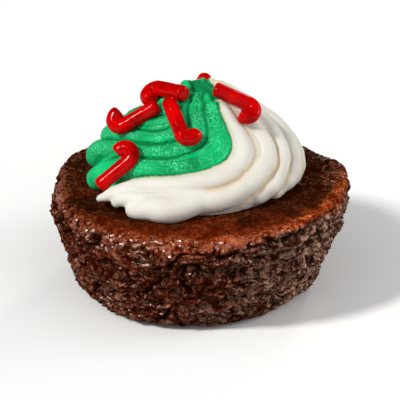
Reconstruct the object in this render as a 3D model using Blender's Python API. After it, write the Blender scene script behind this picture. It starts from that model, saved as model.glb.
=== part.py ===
"""Frosted mini brownie: a crumbly round brownie baked in a plain mini muffin cup, a swirl of piped
frosting on its top and six little candy-cane sprinkles lying on the swirl.

Frame: origin at the middle of the flat base, +Z up, -Y the side where the ridges run level across the swirl.
"""

import math

import bmesh
import bpy
import numpy as np
from mathutils import Vector

# ------------------------------------------------------------------ driving sizes (millimetres and degrees)
MM = 0.001
GAP = 0.30                # clear space between two pieces that touch

# brownie
BROWNIE_HEIGHT = 17.4     # level of the top in its middle
BROWNIE_TOP_R = 24.0      # wall radius at the top, a 48 mm cup
BROWNIE_FOOT_R = 20.5     # wall radius where it meets the foot's rounding
BROWNIE_FOOT_ROUND = 4.0  # rounding between base and wall
BROWNIE_BOW = 0.3         # outward belly of the wall
SHOULDER_ROUND = 2.5      # rounding between wall and top
SHOULDER_VARIES = 1.2     # sharper on +X, softer on -X
TOP_RISE = 0.6            # the top climbs this much from the middle to the +X edge
RIM_DIP = 2.0              # the rim sinks towards +X +Y
RIM_PROUD = 0.8           # and stands proud towards -X, a little to +Y
LUMPS = 0.38              # depth of the crumbly unevenness
TURNS = 60                # faces round the wall

# frosting
SWIRL_HEIGHT = 15.2
SWIRL_LEVEL = 17.2        # level its form is measured from; its foot follows the brownie's top
SWIRL_Y = 2.2             # the swirl sits a little behind the middle
PEAK_DRIFT = (1.0, 1.0)   # and its peak leans to +X and +Y
SWIRL_Z = (0.0, 1.5, 3.0, 6.0, 9.0, 11.5, 13.5, 14.6, 15.2)
SWIRL_R = (16.5, 17.0, 16.7, 14.9, 11.6, 8.4, 5.7, 3.8, 0.0)
CORE_INSET = (1.7, 0.8)   # how far the core lies under the ridge crests, at foot and peak
CORNER = 5.0              # squareness of the turn from the level run to the climb

# One ridge: azimuth of its start and of its turn, level it runs at, further rise of the run, radius, thinness of its start,
# bulge at its start and how far the bulge holds, backward drift of the climb, squareness of the turn, how low it starts
RIDGES = {
    "b":  (237.0, 333.0, 1.0, 4.9, 2.10, 0.75, 2.5, 0.14, 0.0, 5.0, 0.75),
    "c":  (216.5, 311.0, 3.9, 2.7, 1.75, 0.30, 2.7, 0.02, 9.0, 5.0, 0.75),
    "g1": (198.0, 291.5, 5.9, 2.2, 1.60, 1.10, 1.3, 0.04, 6.0, 5.0, 0.72),
    "g2": (180.0, 268.0, 6.9, 2.5, 1.25, 1.70, 1.6, 0.05, 22.0, 5.0, 0.38),
    "g3": (170.0, 251.0, 7.8, 2.2, 1.10, 1.75, 1.0, 0.05, 30.0, 5.0, 0.16),
    "g4": (156.0, 233.0, 9.2, 2.1, 0.90, 1.20, 0.6, 0.04, 26.0, 5.0, 0.40),
    "g5": (148.0, 214.0, 10.7, 1.7, 0.80, 0.90, 0.2, 0.04, 22.0, 5.0, 0.75),
    "a1": (296.0, 358.0, 0.0, 9.0, 1.75, 0.45, -0.9, 0.10, 0.0, 6.0, 0.75),
    "a2": (321.0, 382.0, 0.0, 8.6, 1.80, 0.60, -0.3, 0.08, 0.0, 6.0, 0.75),
    "a3": (343.0, 406.0, 0.0, 8.6, 1.80, 0.75, 0.0, 0.04, 0.0, 6.0, 0.75),
    "a4": (366.0, 430.0, 0.0, 8.6, 1.85, 0.90, 0.3, 0.04, 0.0, 6.0, 0.75),
    "a5": (391.0, 455.0, 0.0, 8.6, 1.85, 0.90, 0.3, 0.04, 0.0, 6.0, 0.75),
    "a6": (416.0, 480.0, 0.0, 8.6, 1.85, 0.90, 0.3, 0.04, 0.0, 6.0, 0.75),
    "a7": (441.0, 505.0, 0.0, 8.6, 1.80, 0.90, 0.3, 0.04, 0.0, 6.0, 0.75),
    "a8": (465.0, 528.0, 0.2, 8.6, 1.75, 0.90, 0.4, 0.04, 0.0, 6.0, 0.75),
    "a9": (488.0, 548.0, 0.6, 8.4, 1.65, 0.90, 0.5, 0.04, 0.0, 6.0, 0.75),
}
# A little pulled tip beside the start of ridge c: azimuth, level, reach past the swirl and radius, at its point and its root
TIP = ((226.0, 1.1, 2.3, 0.62), (228.0, 2.5, -0.2, 1.20))
# Frosting that fills the valley between ridges b and c where they start; numbers as for the tip
WEB = ((229.0, 2.3, 1.9, 1.30), (268.0, 4.3, -0.3, 0.80))
# Lip that closes the peak: centre x and y, radius, from and to azimuth, level, thickness
LIP = (0.9, 3.4, 2.95, 212.0, 96.0, 14.75, 0.80)
# Low dome inside the lip: centre x and y, level, radius, height
CROWN = (1.0, 3.5, 13.1, 3.1, 1.75)

# candy canes
CANE_R = 1.15
CANE_SIDES = 10
# stem end, direction of the stem, side the hook turns to, stem length, hook radius, hook angle, thickness
CANES = {
    "cane_1": ((-6.84, -0.60, 29.78), (-0.852, -0.042, -0.523), (-0.421, 0.647, 0.635), 5.70, 1.25, 172.0, 1.0),
    "cane_2": ((-2.50, -0.87, 32.42), (-0.638, 0.747, -0.189), (-0.610, -0.639, -0.469), 5.64, 1.26, 172.0, 1.02),
    "cane_3": ((-4.49, -2.54, 31.55), (0.322, -0.801, -0.505), (0.926, 0.377, -0.007), 6.05, 1.26, 146.0, 1.03),
    "cane_4": ((-15.05, -8.94, 20.60), (0.771, 0.181, 0.610), (-0.570, 0.624, 0.535), 5.65, 1.25, 190.0, 1.0),
    "cane_5": ((2.95, -0.14, 32.68), (0.915, -0.162, -0.368), (-0.351, -0.770, -0.533), 5.45, 1.25, 186.0, 1.0),
    "cane_6": ((1.00, 8.20, 30.75), (-0.150, 0.800, -0.620), (-0.970, -0.050, -0.200), 5.90, 1.25, 186.0, 1.0),
}

rng = np.random.default_rng(11)


# ------------------------------------------------------------------ helpers
def smooth(a, b, x):
    t = np.clip((x - a) / (b - a), 0.0, 1.0)
    return t * t * (3.0 - 2.0 * t)


def material(name, colour, rough):
    m = bpy.data.materials.new(name)
    m.use_nodes = True
    shader = m.node_tree.nodes["Principled BSDF"]
    shader.inputs["Base Color"].default_value = (*colour, 1.0)
    shader.inputs["Roughness"].default_value = rough
    return m


def mesh_object(name, verts, faces, hide=False):
    me = bpy.data.meshes.new(name)
    me.from_pydata([tuple(MM * np.asarray(v)) for v in verts], [], faces)
    ob = bpy.data.objects.new(name, me)
    bpy.context.scene.collection.objects.link(ob)
    if hide:
        ob.hide_render = True
        ob.display_type = "WIRE"
    bm = bmesh.new()
    bm.from_mesh(me)
    bmesh.ops.recalc_face_normals(bm, faces=bm.faces)
    bmesh.ops.triangulate(bm, faces=[f for f in bm.faces if len(f.verts) > 4])
    bm.to_mesh(me)
    bm.free()
    return ob


def tube(points, radii, sides, start_round=True):
    """A closed tube round a run of points, with a rounded cap at each end."""
    points = np.asarray(points, float)
    tangents = np.gradient(points, axis=0)
    tangents /= np.linalg.norm(tangents, axis=1)[:, None]
    side = np.cross(tangents[0], (0.0, 0.0, 1.0))
    if np.linalg.norm(side) < 0.2:
        side = np.cross(tangents[0], (0.0, 1.0, 0.0))
    side /= np.linalg.norm(side)
    rings = []

    def ring(p, t, s, r):
        u = np.cross(t, s)
        a = np.arange(sides) * 2 * math.pi / sides
        return p + r * (np.cos(a)[:, None] * s + np.sin(a)[:, None] * u)

    last = len(points) - 1
    for i, (p, t, r) in enumerate(zip(points, tangents, radii)):
        side = side - t * np.dot(side, t)
        side /= np.linalg.norm(side)
        if i == 0:
            for a in (65.0, 30.0):
                rings.append(ring(p - t * r * math.sin(math.radians(a)), t, side, r * math.cos(math.radians(a))))
            rings.append(ring(p, t, side, r))
            cap0 = p - t * r
        elif i == last:
            rings.append(ring(p, t, side, r))
            for a in (30.0, 65.0):
                rings.append(ring(p + t * r * math.sin(math.radians(a)), t, side, r * math.cos(math.radians(a))))
            cap1 = p + t * r
        else:
            rings.append(ring(p, t, side, r))
    verts = np.concatenate(rings + [cap0[None], cap1[None]])
    faces = []
    n = len(rings)
    for i in range(n - 1):
        for j in range(sides):
            k = (j + 1) % sides
            faces.append((i * sides + j, i * sides + k, (i + 1) * sides + k, (i + 1) * sides + j))
    a, b = n * sides, n * sides + 1
    for j in range(sides):
        k = (j + 1) % sides
        faces.append((a, k, j))
        faces.append((b, (n - 1) * sides + j, (n - 1) * sides + k))
    return verts, faces


def evaluated(ob):
    graph = bpy.context.evaluated_depsgraph_get()
    return bpy.data.meshes.new_from_object(ob.evaluated_get(graph))


# ------------------------------------------------------------------ brownie
def brownie_top(x, y):
    """Level of the brownie's top: a plane under the frosting."""
    return BROWNIE_HEIGHT + TOP_RISE * x / BROWNIE_TOP_R


def wall_radius(z):
    u = (z - BROWNIE_FOOT_ROUND) / (BROWNIE_HEIGHT - SHOULDER_ROUND - BROWNIE_FOOT_ROUND)
    if u > 1.0:
        return BROWNIE_TOP_R + 0.5 * (u - 1.0)
    return BROWNIE_FOOT_R + (BROWNIE_TOP_R - BROWNIE_FOOT_R) * u + BROWNIE_BOW * 4.0 * u * (1.0 - u)


LUMP_WAVES = [(int(rng.integers(2, 9)), rng.uniform(0.15, 0.75), rng.uniform(0, 2 * math.pi), rng.uniform(0, 2 * math.pi)) for _ in range(12)]


def lump(a, s):
    """Low, soft unevenness, periodic round the cake; s runs along the profile in millimetres."""
    total = 0.0
    for n, k, p, q in LUMP_WAVES:
        total += math.sin(n * a + p) * math.sin(k * s + q) / (1.0 + 0.12 * n)
    return total / 2.6


def brownie_profile(a):
    """Radius and level from the base's middle round to the top's middle, at azimuth a."""
    rs = SHOULDER_ROUND - SHOULDER_VARIES * math.cos(a)
    rf = BROWNIE_FOOT_ROUND
    h = BROWNIE_HEIGHT + TOP_RISE * math.cos(a) * 0.97
    flat = BROWNIE_FOOT_R - rf
    pts = [(flat * f, 0.0) for f in (0.35, 0.7, 1.0)]
    for k in (0.3, 0.52, 0.70):
        ang = -math.pi / 2 * (1.0 - k)
        pts.append((flat + rf * math.cos(ang), rf + rf * math.sin(ang)))
    for k in (0.02, 0.16, 0.32, 0.49, 0.66, 0.83, 1.0):
        z = rf + (h - rs - rf) * k
        pts.append((wall_radius(z), z))
    cx = wall_radius(h - rs) - rs
    for k in (0.3, 0.58, 0.82, 1.0):
        ang = k * math.pi / 2
        pts.append((cx + rs * math.cos(ang), h - rs + rs * math.sin(ang)))
    return pts, h, cx


def tuck(a, z):
    """The lower wall is drawn in a little towards +X -Y."""
    return 1.0 - 0.028 * max(0.0, math.cos(a + math.radians(35.0))) * float(1.0 - smooth(3.0, 13.0, z))


def slump(x, y, z):
    """How far the rim and the upper wall are sunk or raised; nothing moves under the frosting."""
    a = math.degrees(math.atan2(y, x)) % 360.0
    dip = RIM_DIP * smooth(0.0, 38.0, a) * (1.0 - smooth(62.0, 110.0, a))
    proud = RIM_PROUD * math.exp(-((a - 157.0) / 11.0) ** 2)
    return float((proud - dip) * smooth(17.5, 22.3, math.hypot(x, y - SWIRL_Y)) * smooth(6.0, 15.0, z))


def build_brownie():
    verts, faces = [], []
    rings = None
    for j in range(TURNS):
        a = 2 * math.pi * j / TURNS
        pts, h, inner = brownie_profile(a)
        for f in (0.93, 0.84, 0.6, 0.3):
            pts.append((inner * f, None))
        rings = len(pts)
        s = 0.0
        for i, (r, z) in enumerate(pts):
            if i:
                s += 1.5
            on_top = z is None
            amount = LUMPS * (0.0 if i < 2 else 0.35 if i == 2 else 1.0)
            if on_top:
                x, y = r * math.cos(a), r * math.sin(a)
                z = brownie_top(x, y)
                if i > rings - 4:
                    amount = 0.0
                else:
                    z += -0.12 + 0.2 * LUMPS * lump(a, s)
                    amount = 0.0
            d = amount * lump(a, s)
            if i > 2 and not on_top and i > rings - 9:
                z += 0.5 * d
            r = (r + d) * tuck(a, z)
            x, y = r * math.cos(a), r * math.sin(a)
            verts.append((x, y, z + slump(x, y, z)))
    low, high = len(verts), len(verts) + 1
    verts.append((0.0, 0.0, 0.0))
    verts.append((0.0, 0.0, brownie_top(0.0, 0.0)))
    for j in range(TURNS):
        k = (j + 1) % TURNS
        for i in range(rings - 1):
            a, b, c, d = j * rings + i, k * rings + i, k * rings + i + 1, j * rings + i + 1
            faces += [(a, b, c), (a, c, d)]
        faces.append((low, k * rings, j * rings))
        faces.append((high, j * rings + rings - 1, k * rings + rings - 1))
    ob = mesh_object("brownie", verts, faces)
    return ob


# ------------------------------------------------------------------ frosting
def swirl_radius(z):
    return np.interp(z, SWIRL_Z, SWIRL_R)


def swirl_centre(z):
    u = np.clip(z / SWIRL_HEIGHT, 0.0, 1.1) ** 2
    return PEAK_DRIFT[0] * u, SWIRL_Y + PEAK_DRIFT[1] * u


def on_swirl(phi, z, depth, outward=0.0):
    """A point the given depth under the swirl's outer form."""
    z = np.asarray(z, float)
    lo, hi = np.maximum(z - 0.4, 0.0), np.minimum(z + 0.4, SWIRL_HEIGHT)
    slope = (swirl_radius(hi) - swirl_radius(lo)) / (hi - lo)
    nr = 1.0 / np.sqrt(1.0 + slope * slope)
    nz = -slope * nr
    r = swirl_radius(z) - depth * nr + outward
    cx, cy = swirl_centre(z)
    a = np.radians(phi)
    return np.stack([cx + r * np.cos(a), cy + r * np.sin(a), z - depth * nz], -1)


def ridge(start, turn, level, rise, radius, thin, bulge, hold, drift, corner, dip, steps=40):
    """A ridge that rises from the foot, runs round the swirl at its level, then turns up to the peak."""
    ang = np.linspace(0.0, 1.0, steps) * math.pi / 2
    along = np.sin(ang) ** (2.0 / corner)
    even = np.linspace(0.0, 1.0, steps)
    along = np.maximum.accumulate(np.where(even < 0.5, np.minimum(along, even * 1.6), along))
    along[-1] = 1.0
    climb = 1.0 - (1.0 - along ** corner) ** (1.0 / corner)
    run = level * (1.0 - dip * np.exp(-along / 0.10)) + rise * along
    z = run + (SWIRL_HEIGHT - 0.5 - run) * climb
    phi = start + (turn - start) * along - drift * climb ** 2
    r = radius * (thin + (1.0 - thin) * smooth(0.0, 0.14, along)) * (1.0 - 0.5 * climb)
    out = bulge * (1.0 - smooth(hold, hold + 0.25, along))
    return on_swirl(phi, np.maximum(z, 0.25 * radius), r * 0.95, out), r


def pulled_tip():
    (a0, z0, o0, r0), (a1, z1, o1, r1) = TIP
    t = np.linspace(0.0, 1.0, 8)
    return on_swirl(a0 + (a1 - a0) * t, z0 + (z1 - z0) * t, 0.9, o0 + (o1 - o0) * t), r0 + (r1 - r0) * t


def web():
    (a0, z0, o0, r0), (a1, z1, o1, r1) = WEB
    t = np.linspace(0.0, 1.0, 20)
    return on_swirl(a0 + (a1 - a0) * t, z0 + (z1 - z0) * t, 0.9, o0 + (o1 - o0) * t), r0 + (r1 - r0) * t


def top_lip():
    cx, cy, radius, a0, a1, level, thick = LIP
    t = np.linspace(0.0, 1.0, 20)
    a = np.radians(a0 + (a1 - a0) * t)
    r = thick * (0.72 + 0.28 * np.sin(math.pi * t))
    return np.stack([cx + radius * np.cos(a), cy + radius * np.sin(a), level - 1.1 * np.clip(np.sin(a), 0.0, 1.0)], -1), r


def crown():
    """A low dome that closes the peak inside the lip."""
    cx, cy, level, radius, tall = CROWN
    sides, verts, faces = 24, [], []
    tilts = (-60, -30, 0, 20, 40, 58, 74)
    for b in tilts:
        r = radius * math.cos(math.radians(b))
        for j in range(sides):
            a = 2 * math.pi * j / sides
            verts.append((cx + r * math.cos(a), cy + r * math.sin(a), level + tall * math.sin(math.radians(b))))
    n = len(tilts)
    for i in range(n - 1):
        for j in range(sides):
            k = (j + 1) % sides
            faces.append((i * sides + j, i * sides + k, (i + 1) * sides + k, (i + 1) * sides + j))
    verts += [(cx, cy, level - tall), (cx, cy, level + tall)]
    for j in range(sides):
        k = (j + 1) % sides
        faces.append((n * sides, k, j))
        faces.append((n * sides + 1, (n - 1) * sides + j, (n - 1) * sides + k))
    return verts, faces


def core():
    """The body of the swirl under its ridges."""
    verts, faces = [], []
    sides = 40
    levels = np.concatenate([[-1.2], np.linspace(0.0, SWIRL_HEIGHT - 1.0, 18)])
    for z in levels:
        f = max(z, 0.0) / SWIRL_HEIGHT
        r = max(swirl_radius(max(z, 0.0)) - (CORE_INSET[0] * (1 - f) + CORE_INSET[1] * f), 0.6)
        cx, cy = swirl_centre(max(z, 0.0))
        for j in range(sides):
            a = 2 * math.pi * j / sides
            fill = 0.65 * float(smooth(-0.1, 0.75, math.cos(a - math.radians(228.0)))) * (1.0 - 0.6 * f)
            fill += 0.35 * float(smooth(0.2, 0.95, math.cos(a - math.radians(335.0))))
            verts.append((cx + (r + fill) * math.cos(a), cy + (r + fill) * math.sin(a), z))
    n = len(levels)
    for i in range(n - 1):
        for j in range(sides):
            k = (j + 1) % sides
            faces.append((i * sides + j, i * sides + k, (i + 1) * sides + k, (i + 1) * sides + j))
    faces.append(tuple(reversed(range(sides))))
    faces.append(tuple((n - 1) * sides + j for j in range(sides)))
    return verts, faces


def cane_line(stem_end, direction, hook_side, stem, hook, turn, steps=18):
    p = np.array(stem_end)
    u = np.array(direction) / np.linalg.norm(direction)
    v = np.array(hook_side)
    v = v - u * np.dot(u, v)
    v /= np.linalg.norm(v)
    arc = hook * math.radians(turn)
    s_stem = np.linspace(0.0, stem, 5)[:-1]
    s_hook = np.linspace(0.0, 1.0, steps - 4)
    pts = [p + u * s for s in s_stem]
    for s in s_hook:
        a = s * arc / hook
        pts.append(p + u * stem + u * hook * math.sin(a) + v * hook * (1.0 - math.cos(a)))
    return np.array(pts)


def build_canes():
    out = {}
    for name, spec in CANES.items():
        line = cane_line(*spec[:6])
        thick = CANE_R * spec[6]
        verts, faces = tube(line, np.full(len(line), thick), CANE_SIDES)
        ob = mesh_object(name, verts, faces)
        # the bed each cane lies in: its own form swollen by the gap, its tight hook filled
        verts, faces = tube(line, np.full(len(line), thick + GAP + 0.05), CANE_SIDES + 4)
        bed = mesh_object("bed_" + name, verts, faces, hide=True)
        skin = bed.modifiers.new("skin", "REMESH")
        skin.mode = "VOXEL"
        skin.voxel_size = 0.2 * MM
        me = evaluated(bed)
        bed.modifiers.clear()
        bed.data = me
        thin = bed.modifiers.new("thin", "DECIMATE")
        thin.ratio = 300 / (2 * len(me.polygons))
        me = evaluated(bed)
        bed.modifiers.clear()
        bed.data = me
        out[name] = (ob, bed)
    return out


def build_frosting(cutters):
    verts, faces = [], []

    def add(v, f):
        n = len(verts)
        verts.extend([tuple(p) for p in v])
        faces.extend([tuple(i + n for i in face) for face in f])

    add(*core())
    for spec in RIDGES.values():
        line, radii = ridge(*spec)
        add(*tube(line, radii, 14))
    add(*tube(*pulled_tip(), 10))
    add(*tube(*web(), 12))
    add(*tube(*top_lip(), 12))
    add(*crown())
    raw = mesh_object("frosting_raw", verts, faces, hide=True)
    remesh = raw.modifiers.new("skin", "REMESH")
    remesh.mode = "VOXEL"
    remesh.voxel_size = 0.40 * MM
    soften = raw.modifiers.new("soften", "SMOOTH")
    soften.factor = 0.5
    soften.iterations = 3
    me = evaluated(raw)
    bpy.data.objects.remove(raw)
    ob = bpy.data.objects.new("frosting", me)
    bpy.context.scene.collection.objects.link(ob)
    thin = ob.modifiers.new("thin", "DECIMATE")
    thin.ratio = 4300 / max(1, 2 * len(me.polygons))
    me = evaluated(ob)
    ob.modifiers.clear()
    ob.data = me

    # flat foot that follows the brownie's top with a thin gap
    box = [(x, y, z) for z in (-6.0, 0.0) for x, y in ((-30, -30), (30, -30), (30, 30), (-30, 30))]
    foot = mesh_object("cut_foot", box, [(0, 3, 2, 1), (4, 5, 6, 7), (0, 1, 5, 4), (1, 2, 6, 5), (2, 3, 7, 6), (3, 0, 4, 7)], hide=True)
    cut = ob.modifiers.new("foot", "BOOLEAN")
    cut.operation, cut.solver, cut.object = "DIFFERENCE", "EXACT", foot
    me = evaluated(ob)
    ob.modifiers.clear()
    ob.data = me
    bpy.data.objects.remove(foot)
    bm = bmesh.new()
    bm.from_mesh(me)
    for v in bm.verts:
        x, y, z = v.co / MM
        fade = math.exp(-max(z, 0.0) / 3.0)
        v.co.z = MM * (z + SWIRL_LEVEL + (brownie_top(x, y) + GAP - SWIRL_LEVEL) * fade)
    bmesh.ops.triangulate(bm, faces=bm.faces)
    bm.to_mesh(me)
    bm.free()
    for name, cutter in cutters.items():
        m = ob.modifiers.new("rest_" + name, "BOOLEAN")
        m.operation, m.solver, m.object = "DIFFERENCE", "EXACT", cutter
    return ob


# ------------------------------------------------------------------ build
for old in list(bpy.data.objects):
    bpy.data.objects.remove(old)

brownie = build_brownie()
canes = build_canes()
frosting = build_frosting({name: cut for name, (ob, cut) in canes.items()})

brownie.data.materials.append(material("brownie", (0.10, 0.035, 0.015), 0.6))
frosting.data.materials.append(material("frosting", (0.90, 0.88, 0.82), 0.5))
red = (0.70, 0.01, 0.01)
for name, (ob, cut) in canes.items():
    ob.data.materials.append(material(name, red, 0.25))
for ob in [brownie, frosting] + [c[0] for c in canes.values()]:
    ob.data.shade_smooth()
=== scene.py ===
"""A frosted mini brownie on a plain pale floor: crumbly brownie, piped two-tone swirl and six candy-cane sprinkles."""

import math

import bmesh
import bpy
import numpy as np
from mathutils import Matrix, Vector


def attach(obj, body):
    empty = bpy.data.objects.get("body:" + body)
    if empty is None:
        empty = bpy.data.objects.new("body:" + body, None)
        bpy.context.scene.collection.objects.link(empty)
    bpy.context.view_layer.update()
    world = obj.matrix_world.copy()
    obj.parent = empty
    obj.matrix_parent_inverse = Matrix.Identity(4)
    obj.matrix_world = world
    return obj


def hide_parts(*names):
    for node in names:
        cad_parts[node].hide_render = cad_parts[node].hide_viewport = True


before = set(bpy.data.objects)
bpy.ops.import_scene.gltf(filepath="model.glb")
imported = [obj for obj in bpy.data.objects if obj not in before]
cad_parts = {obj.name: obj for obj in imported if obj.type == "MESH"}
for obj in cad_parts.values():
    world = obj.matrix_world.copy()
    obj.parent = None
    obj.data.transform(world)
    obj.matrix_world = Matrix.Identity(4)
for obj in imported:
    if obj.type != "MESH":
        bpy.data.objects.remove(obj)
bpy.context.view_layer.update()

MM = 0.001

# ================================================================== form, as in the CAD (millimetres and degrees)
BROWNIE_HEIGHT = 17.4
BROWNIE_TOP_R = 24.0
BROWNIE_FOOT_R = 20.5
BROWNIE_FOOT_ROUND = 4.0
BROWNIE_BOW = 0.3
SHOULDER_ROUND = 2.5
SHOULDER_VARIES = 1.2
TOP_RISE = 0.6
RIM_DIP = 2.0
RIM_PROUD = 0.8
LUMPS = 0.38

SWIRL_HEIGHT = 15.2
SWIRL_LEVEL = 17.2
SWIRL_Y = 2.2
PEAK_DRIFT = (1.0, 1.0)
SWIRL_Z = (0.0, 1.5, 3.0, 6.0, 9.0, 11.5, 13.5, 14.6, 15.2)
SWIRL_R = (16.5, 17.0, 16.7, 14.9, 11.6, 8.4, 5.7, 3.8, 0.0)
CORE_INSET = (1.7, 0.8)

# start, turn, level, rise, radius, thin, bulge, hold, drift, corner, dip
RIDGES = {
    "b":  (237.0, 333.0, 1.0, 4.9, 2.10, 0.75, 2.5, 0.14, 0.0, 5.0, 0.75),
    "c":  (216.5, 311.0, 3.9, 2.7, 1.75, 0.30, 2.7, 0.02, 9.0, 5.0, 0.75),
    "g1": (198.0, 291.5, 5.9, 2.2, 1.60, 1.10, 1.3, 0.04, 6.0, 5.0, 0.72),
    "g2": (180.0, 268.0, 6.9, 2.5, 1.25, 1.70, 1.6, 0.05, 22.0, 5.0, 0.38),
    "g3": (170.0, 251.0, 7.8, 2.2, 1.10, 1.75, 1.0, 0.05, 30.0, 5.0, 0.16),
    "g4": (156.0, 233.0, 9.2, 2.1, 0.90, 1.20, 0.6, 0.04, 26.0, 5.0, 0.40),
    "g5": (148.0, 214.0, 10.7, 1.7, 0.80, 0.90, 0.2, 0.04, 22.0, 5.0, 0.75),
    "a1": (296.0, 358.0, 0.0, 9.0, 1.75, 0.45, -0.9, 0.10, 0.0, 6.0, 0.75),
    "a2": (321.0, 382.0, 0.0, 8.6, 1.80, 0.60, -0.3, 0.08, 0.0, 6.0, 0.75),
    "a3": (343.0, 406.0, 0.0, 8.6, 1.80, 0.75, 0.0, 0.04, 0.0, 6.0, 0.75),
    "a4": (366.0, 430.0, 0.0, 8.6, 1.85, 0.90, 0.3, 0.04, 0.0, 6.0, 0.75),
    "a5": (391.0, 455.0, 0.0, 8.6, 1.85, 0.90, 0.3, 0.04, 0.0, 6.0, 0.75),
    "a6": (416.0, 480.0, 0.0, 8.6, 1.85, 0.90, 0.3, 0.04, 0.0, 6.0, 0.75),
    "a7": (441.0, 505.0, 0.0, 8.6, 1.80, 0.90, 0.3, 0.04, 0.0, 6.0, 0.75),
    "a8": (465.0, 528.0, 0.2, 8.6, 1.75, 0.90, 0.4, 0.04, 0.0, 6.0, 0.75),
    "a9": (488.0, 548.0, 0.6, 8.4, 1.65, 0.90, 0.5, 0.04, 0.0, 6.0, 0.75),
}
GREEN = ("g1", "g2", "g3", "g4", "g5", "a9", "a8", "lip")
TIP = ((226.2, 1.35, 2.00, 1.02), (228.0, 2.5, -0.2, 1.20))
CROWN = (1.0, 3.5, 13.1, 3.1, 1.75)
WEB = ((229.0, 2.3, 1.9, 1.30), (268.0, 4.3, -0.3, 0.80))
# the last turn of the nozzle: a bead round the back of the peak (centre, radius, from, to, level, thickness)
LIP = (0.9, 3.4, 2.95, 212.0, 96.0, 14.75, 0.80)

KNIFE = 1.0       # which way the crisp crests of the climbing ridges lean

CANE_R = 1.15
CANES = {
    "cane_1": ((-6.74, -0.58, 29.85), (-0.852, -0.042, -0.523), (-0.421, 0.647, 0.635), 5.75, 1.08, 172.0, 1.06),
    "cane_2": ((-2.50, -0.87, 32.40), (-0.638, 0.747, -0.189), (-0.610, -0.639, -0.469), 5.64, 1.14, 176.0, 1.10),
    "cane_3": ((-4.49, -2.54, 31.55), (0.322, -0.801, -0.505), (0.926, 0.377, -0.007), 6.05, 1.05, 146.0, 1.03),
    "cane_4": ((-15.05, -8.94, 20.60), (0.771, 0.181, 0.610), (-0.570, 0.624, 0.535), 5.65, 1.18, 190.0, 1.0),
    "cane_5": ((2.95, -0.14, 32.68), (0.915, -0.162, -0.368), (-0.351, -0.770, -0.533), 5.45, 1.14, 186.0, 1.0),
    "cane_6": ((1.00, 8.20, 30.75), (-0.150, 0.800, -0.620), (-0.970, -0.050, -0.200), 5.90, 1.20, 186.0, 1.0),
}


# ================================================================== noise
class Noise:
    """Seeded gradient noise and cell noise on arrays of points."""

    def __init__(self, seed):
        r = np.random.default_rng(seed)
        self.perm = r.permutation(256)
        self.perm = np.concatenate([self.perm, self.perm, self.perm[:8]])
        g = r.normal(size=(256, 3))
        self.grad = g / np.linalg.norm(g, axis=1)[:, None]
        self.jitter = r.random((256, 3))

    def _hash(self, i, j, k):
        p = self.perm
        return p[(p[(p[i & 255] + j) & 255] + k) & 255]

    def perlin(self, p):
        f = np.floor(p).astype(np.int64)
        d = p - f
        u = d * d * d * (d * (d * 6.0 - 15.0) + 10.0)
        total = np.zeros(len(p))
        for a in (0, 1):
            for b in (0, 1):
                for c in (0, 1):
                    g = self.grad[self._hash(f[:, 0] + a, f[:, 1] + b, f[:, 2] + c)]
                    dot = g[:, 0] * (d[:, 0] - a) + g[:, 1] * (d[:, 1] - b) + g[:, 2] * (d[:, 2] - c)
                    w = (u[:, 0] if a else 1 - u[:, 0]) * (u[:, 1] if b else 1 - u[:, 1]) * (u[:, 2] if c else 1 - u[:, 2])
                    total += w * dot
        return total * 1.5

    def fbm(self, p, octaves=3, gain=0.5):
        total, amp, norm = np.zeros(len(p)), 1.0, 0.0
        for o in range(octaves):
            total += amp * self.perlin(p * 2.03 ** o + 17.3 * o)
            norm += amp
            amp *= gain
        return total / norm

    def cells(self, p):
        """Distances to the nearest and second nearest feature point."""
        f = np.floor(p).astype(np.int64)
        f1 = np.full(len(p), 9.0)
        f2 = np.full(len(p), 9.0)
        for a in (-1, 0, 1):
            for b in (-1, 0, 1):
                for c in (-1, 0, 1):
                    q = f + (a, b, c)
                    j = self.jitter[self._hash(q[:, 0], q[:, 1], q[:, 2])]
                    d = np.linalg.norm(q + j - p, axis=1)
                    nearer = d < f1
                    f2 = np.where(nearer, f1, np.minimum(f2, d))
                    f1 = np.where(nearer, d, f1)
        return f1, f2


def smooth(a, b, x):
    t = np.clip((x - a) / (b - a), 0.0, 1.0)
    return t * t * (3.0 - 2.0 * t)


# ================================================================== mesh helpers
def new_object(name, verts, faces, smooth_shade=True):
    me = bpy.data.meshes.new(name)
    me.from_pydata([tuple(v) for v in np.asarray(verts) * MM], [], [tuple(f) for f in faces])
    me.update()
    if smooth_shade:
        me.shade_smooth()
    ob = bpy.data.objects.new(name, me)
    bpy.context.scene.collection.objects.link(ob)
    return ob


def coords(me):
    co = np.zeros(len(me.vertices) * 3)
    me.vertices.foreach_get("co", co)
    return co.reshape(-1, 3) / MM


def set_coords(me, co):
    me.vertices.foreach_set("co", (np.asarray(co) * MM).ravel())
    me.update()


def normals(me):
    n = np.zeros(len(me.vertices) * 3)
    me.vertices.foreach_get("normal", n)
    return n.reshape(-1, 3)


def attribute(me, name, values):
    a = me.attributes.new(name, "FLOAT", "POINT")
    a.data.foreach_set("value", np.asarray(values, np.float32))


def evaluated(ob):
    return bpy.data.meshes.new_from_object(ob.evaluated_get(bpy.context.evaluated_depsgraph_get()))


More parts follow.
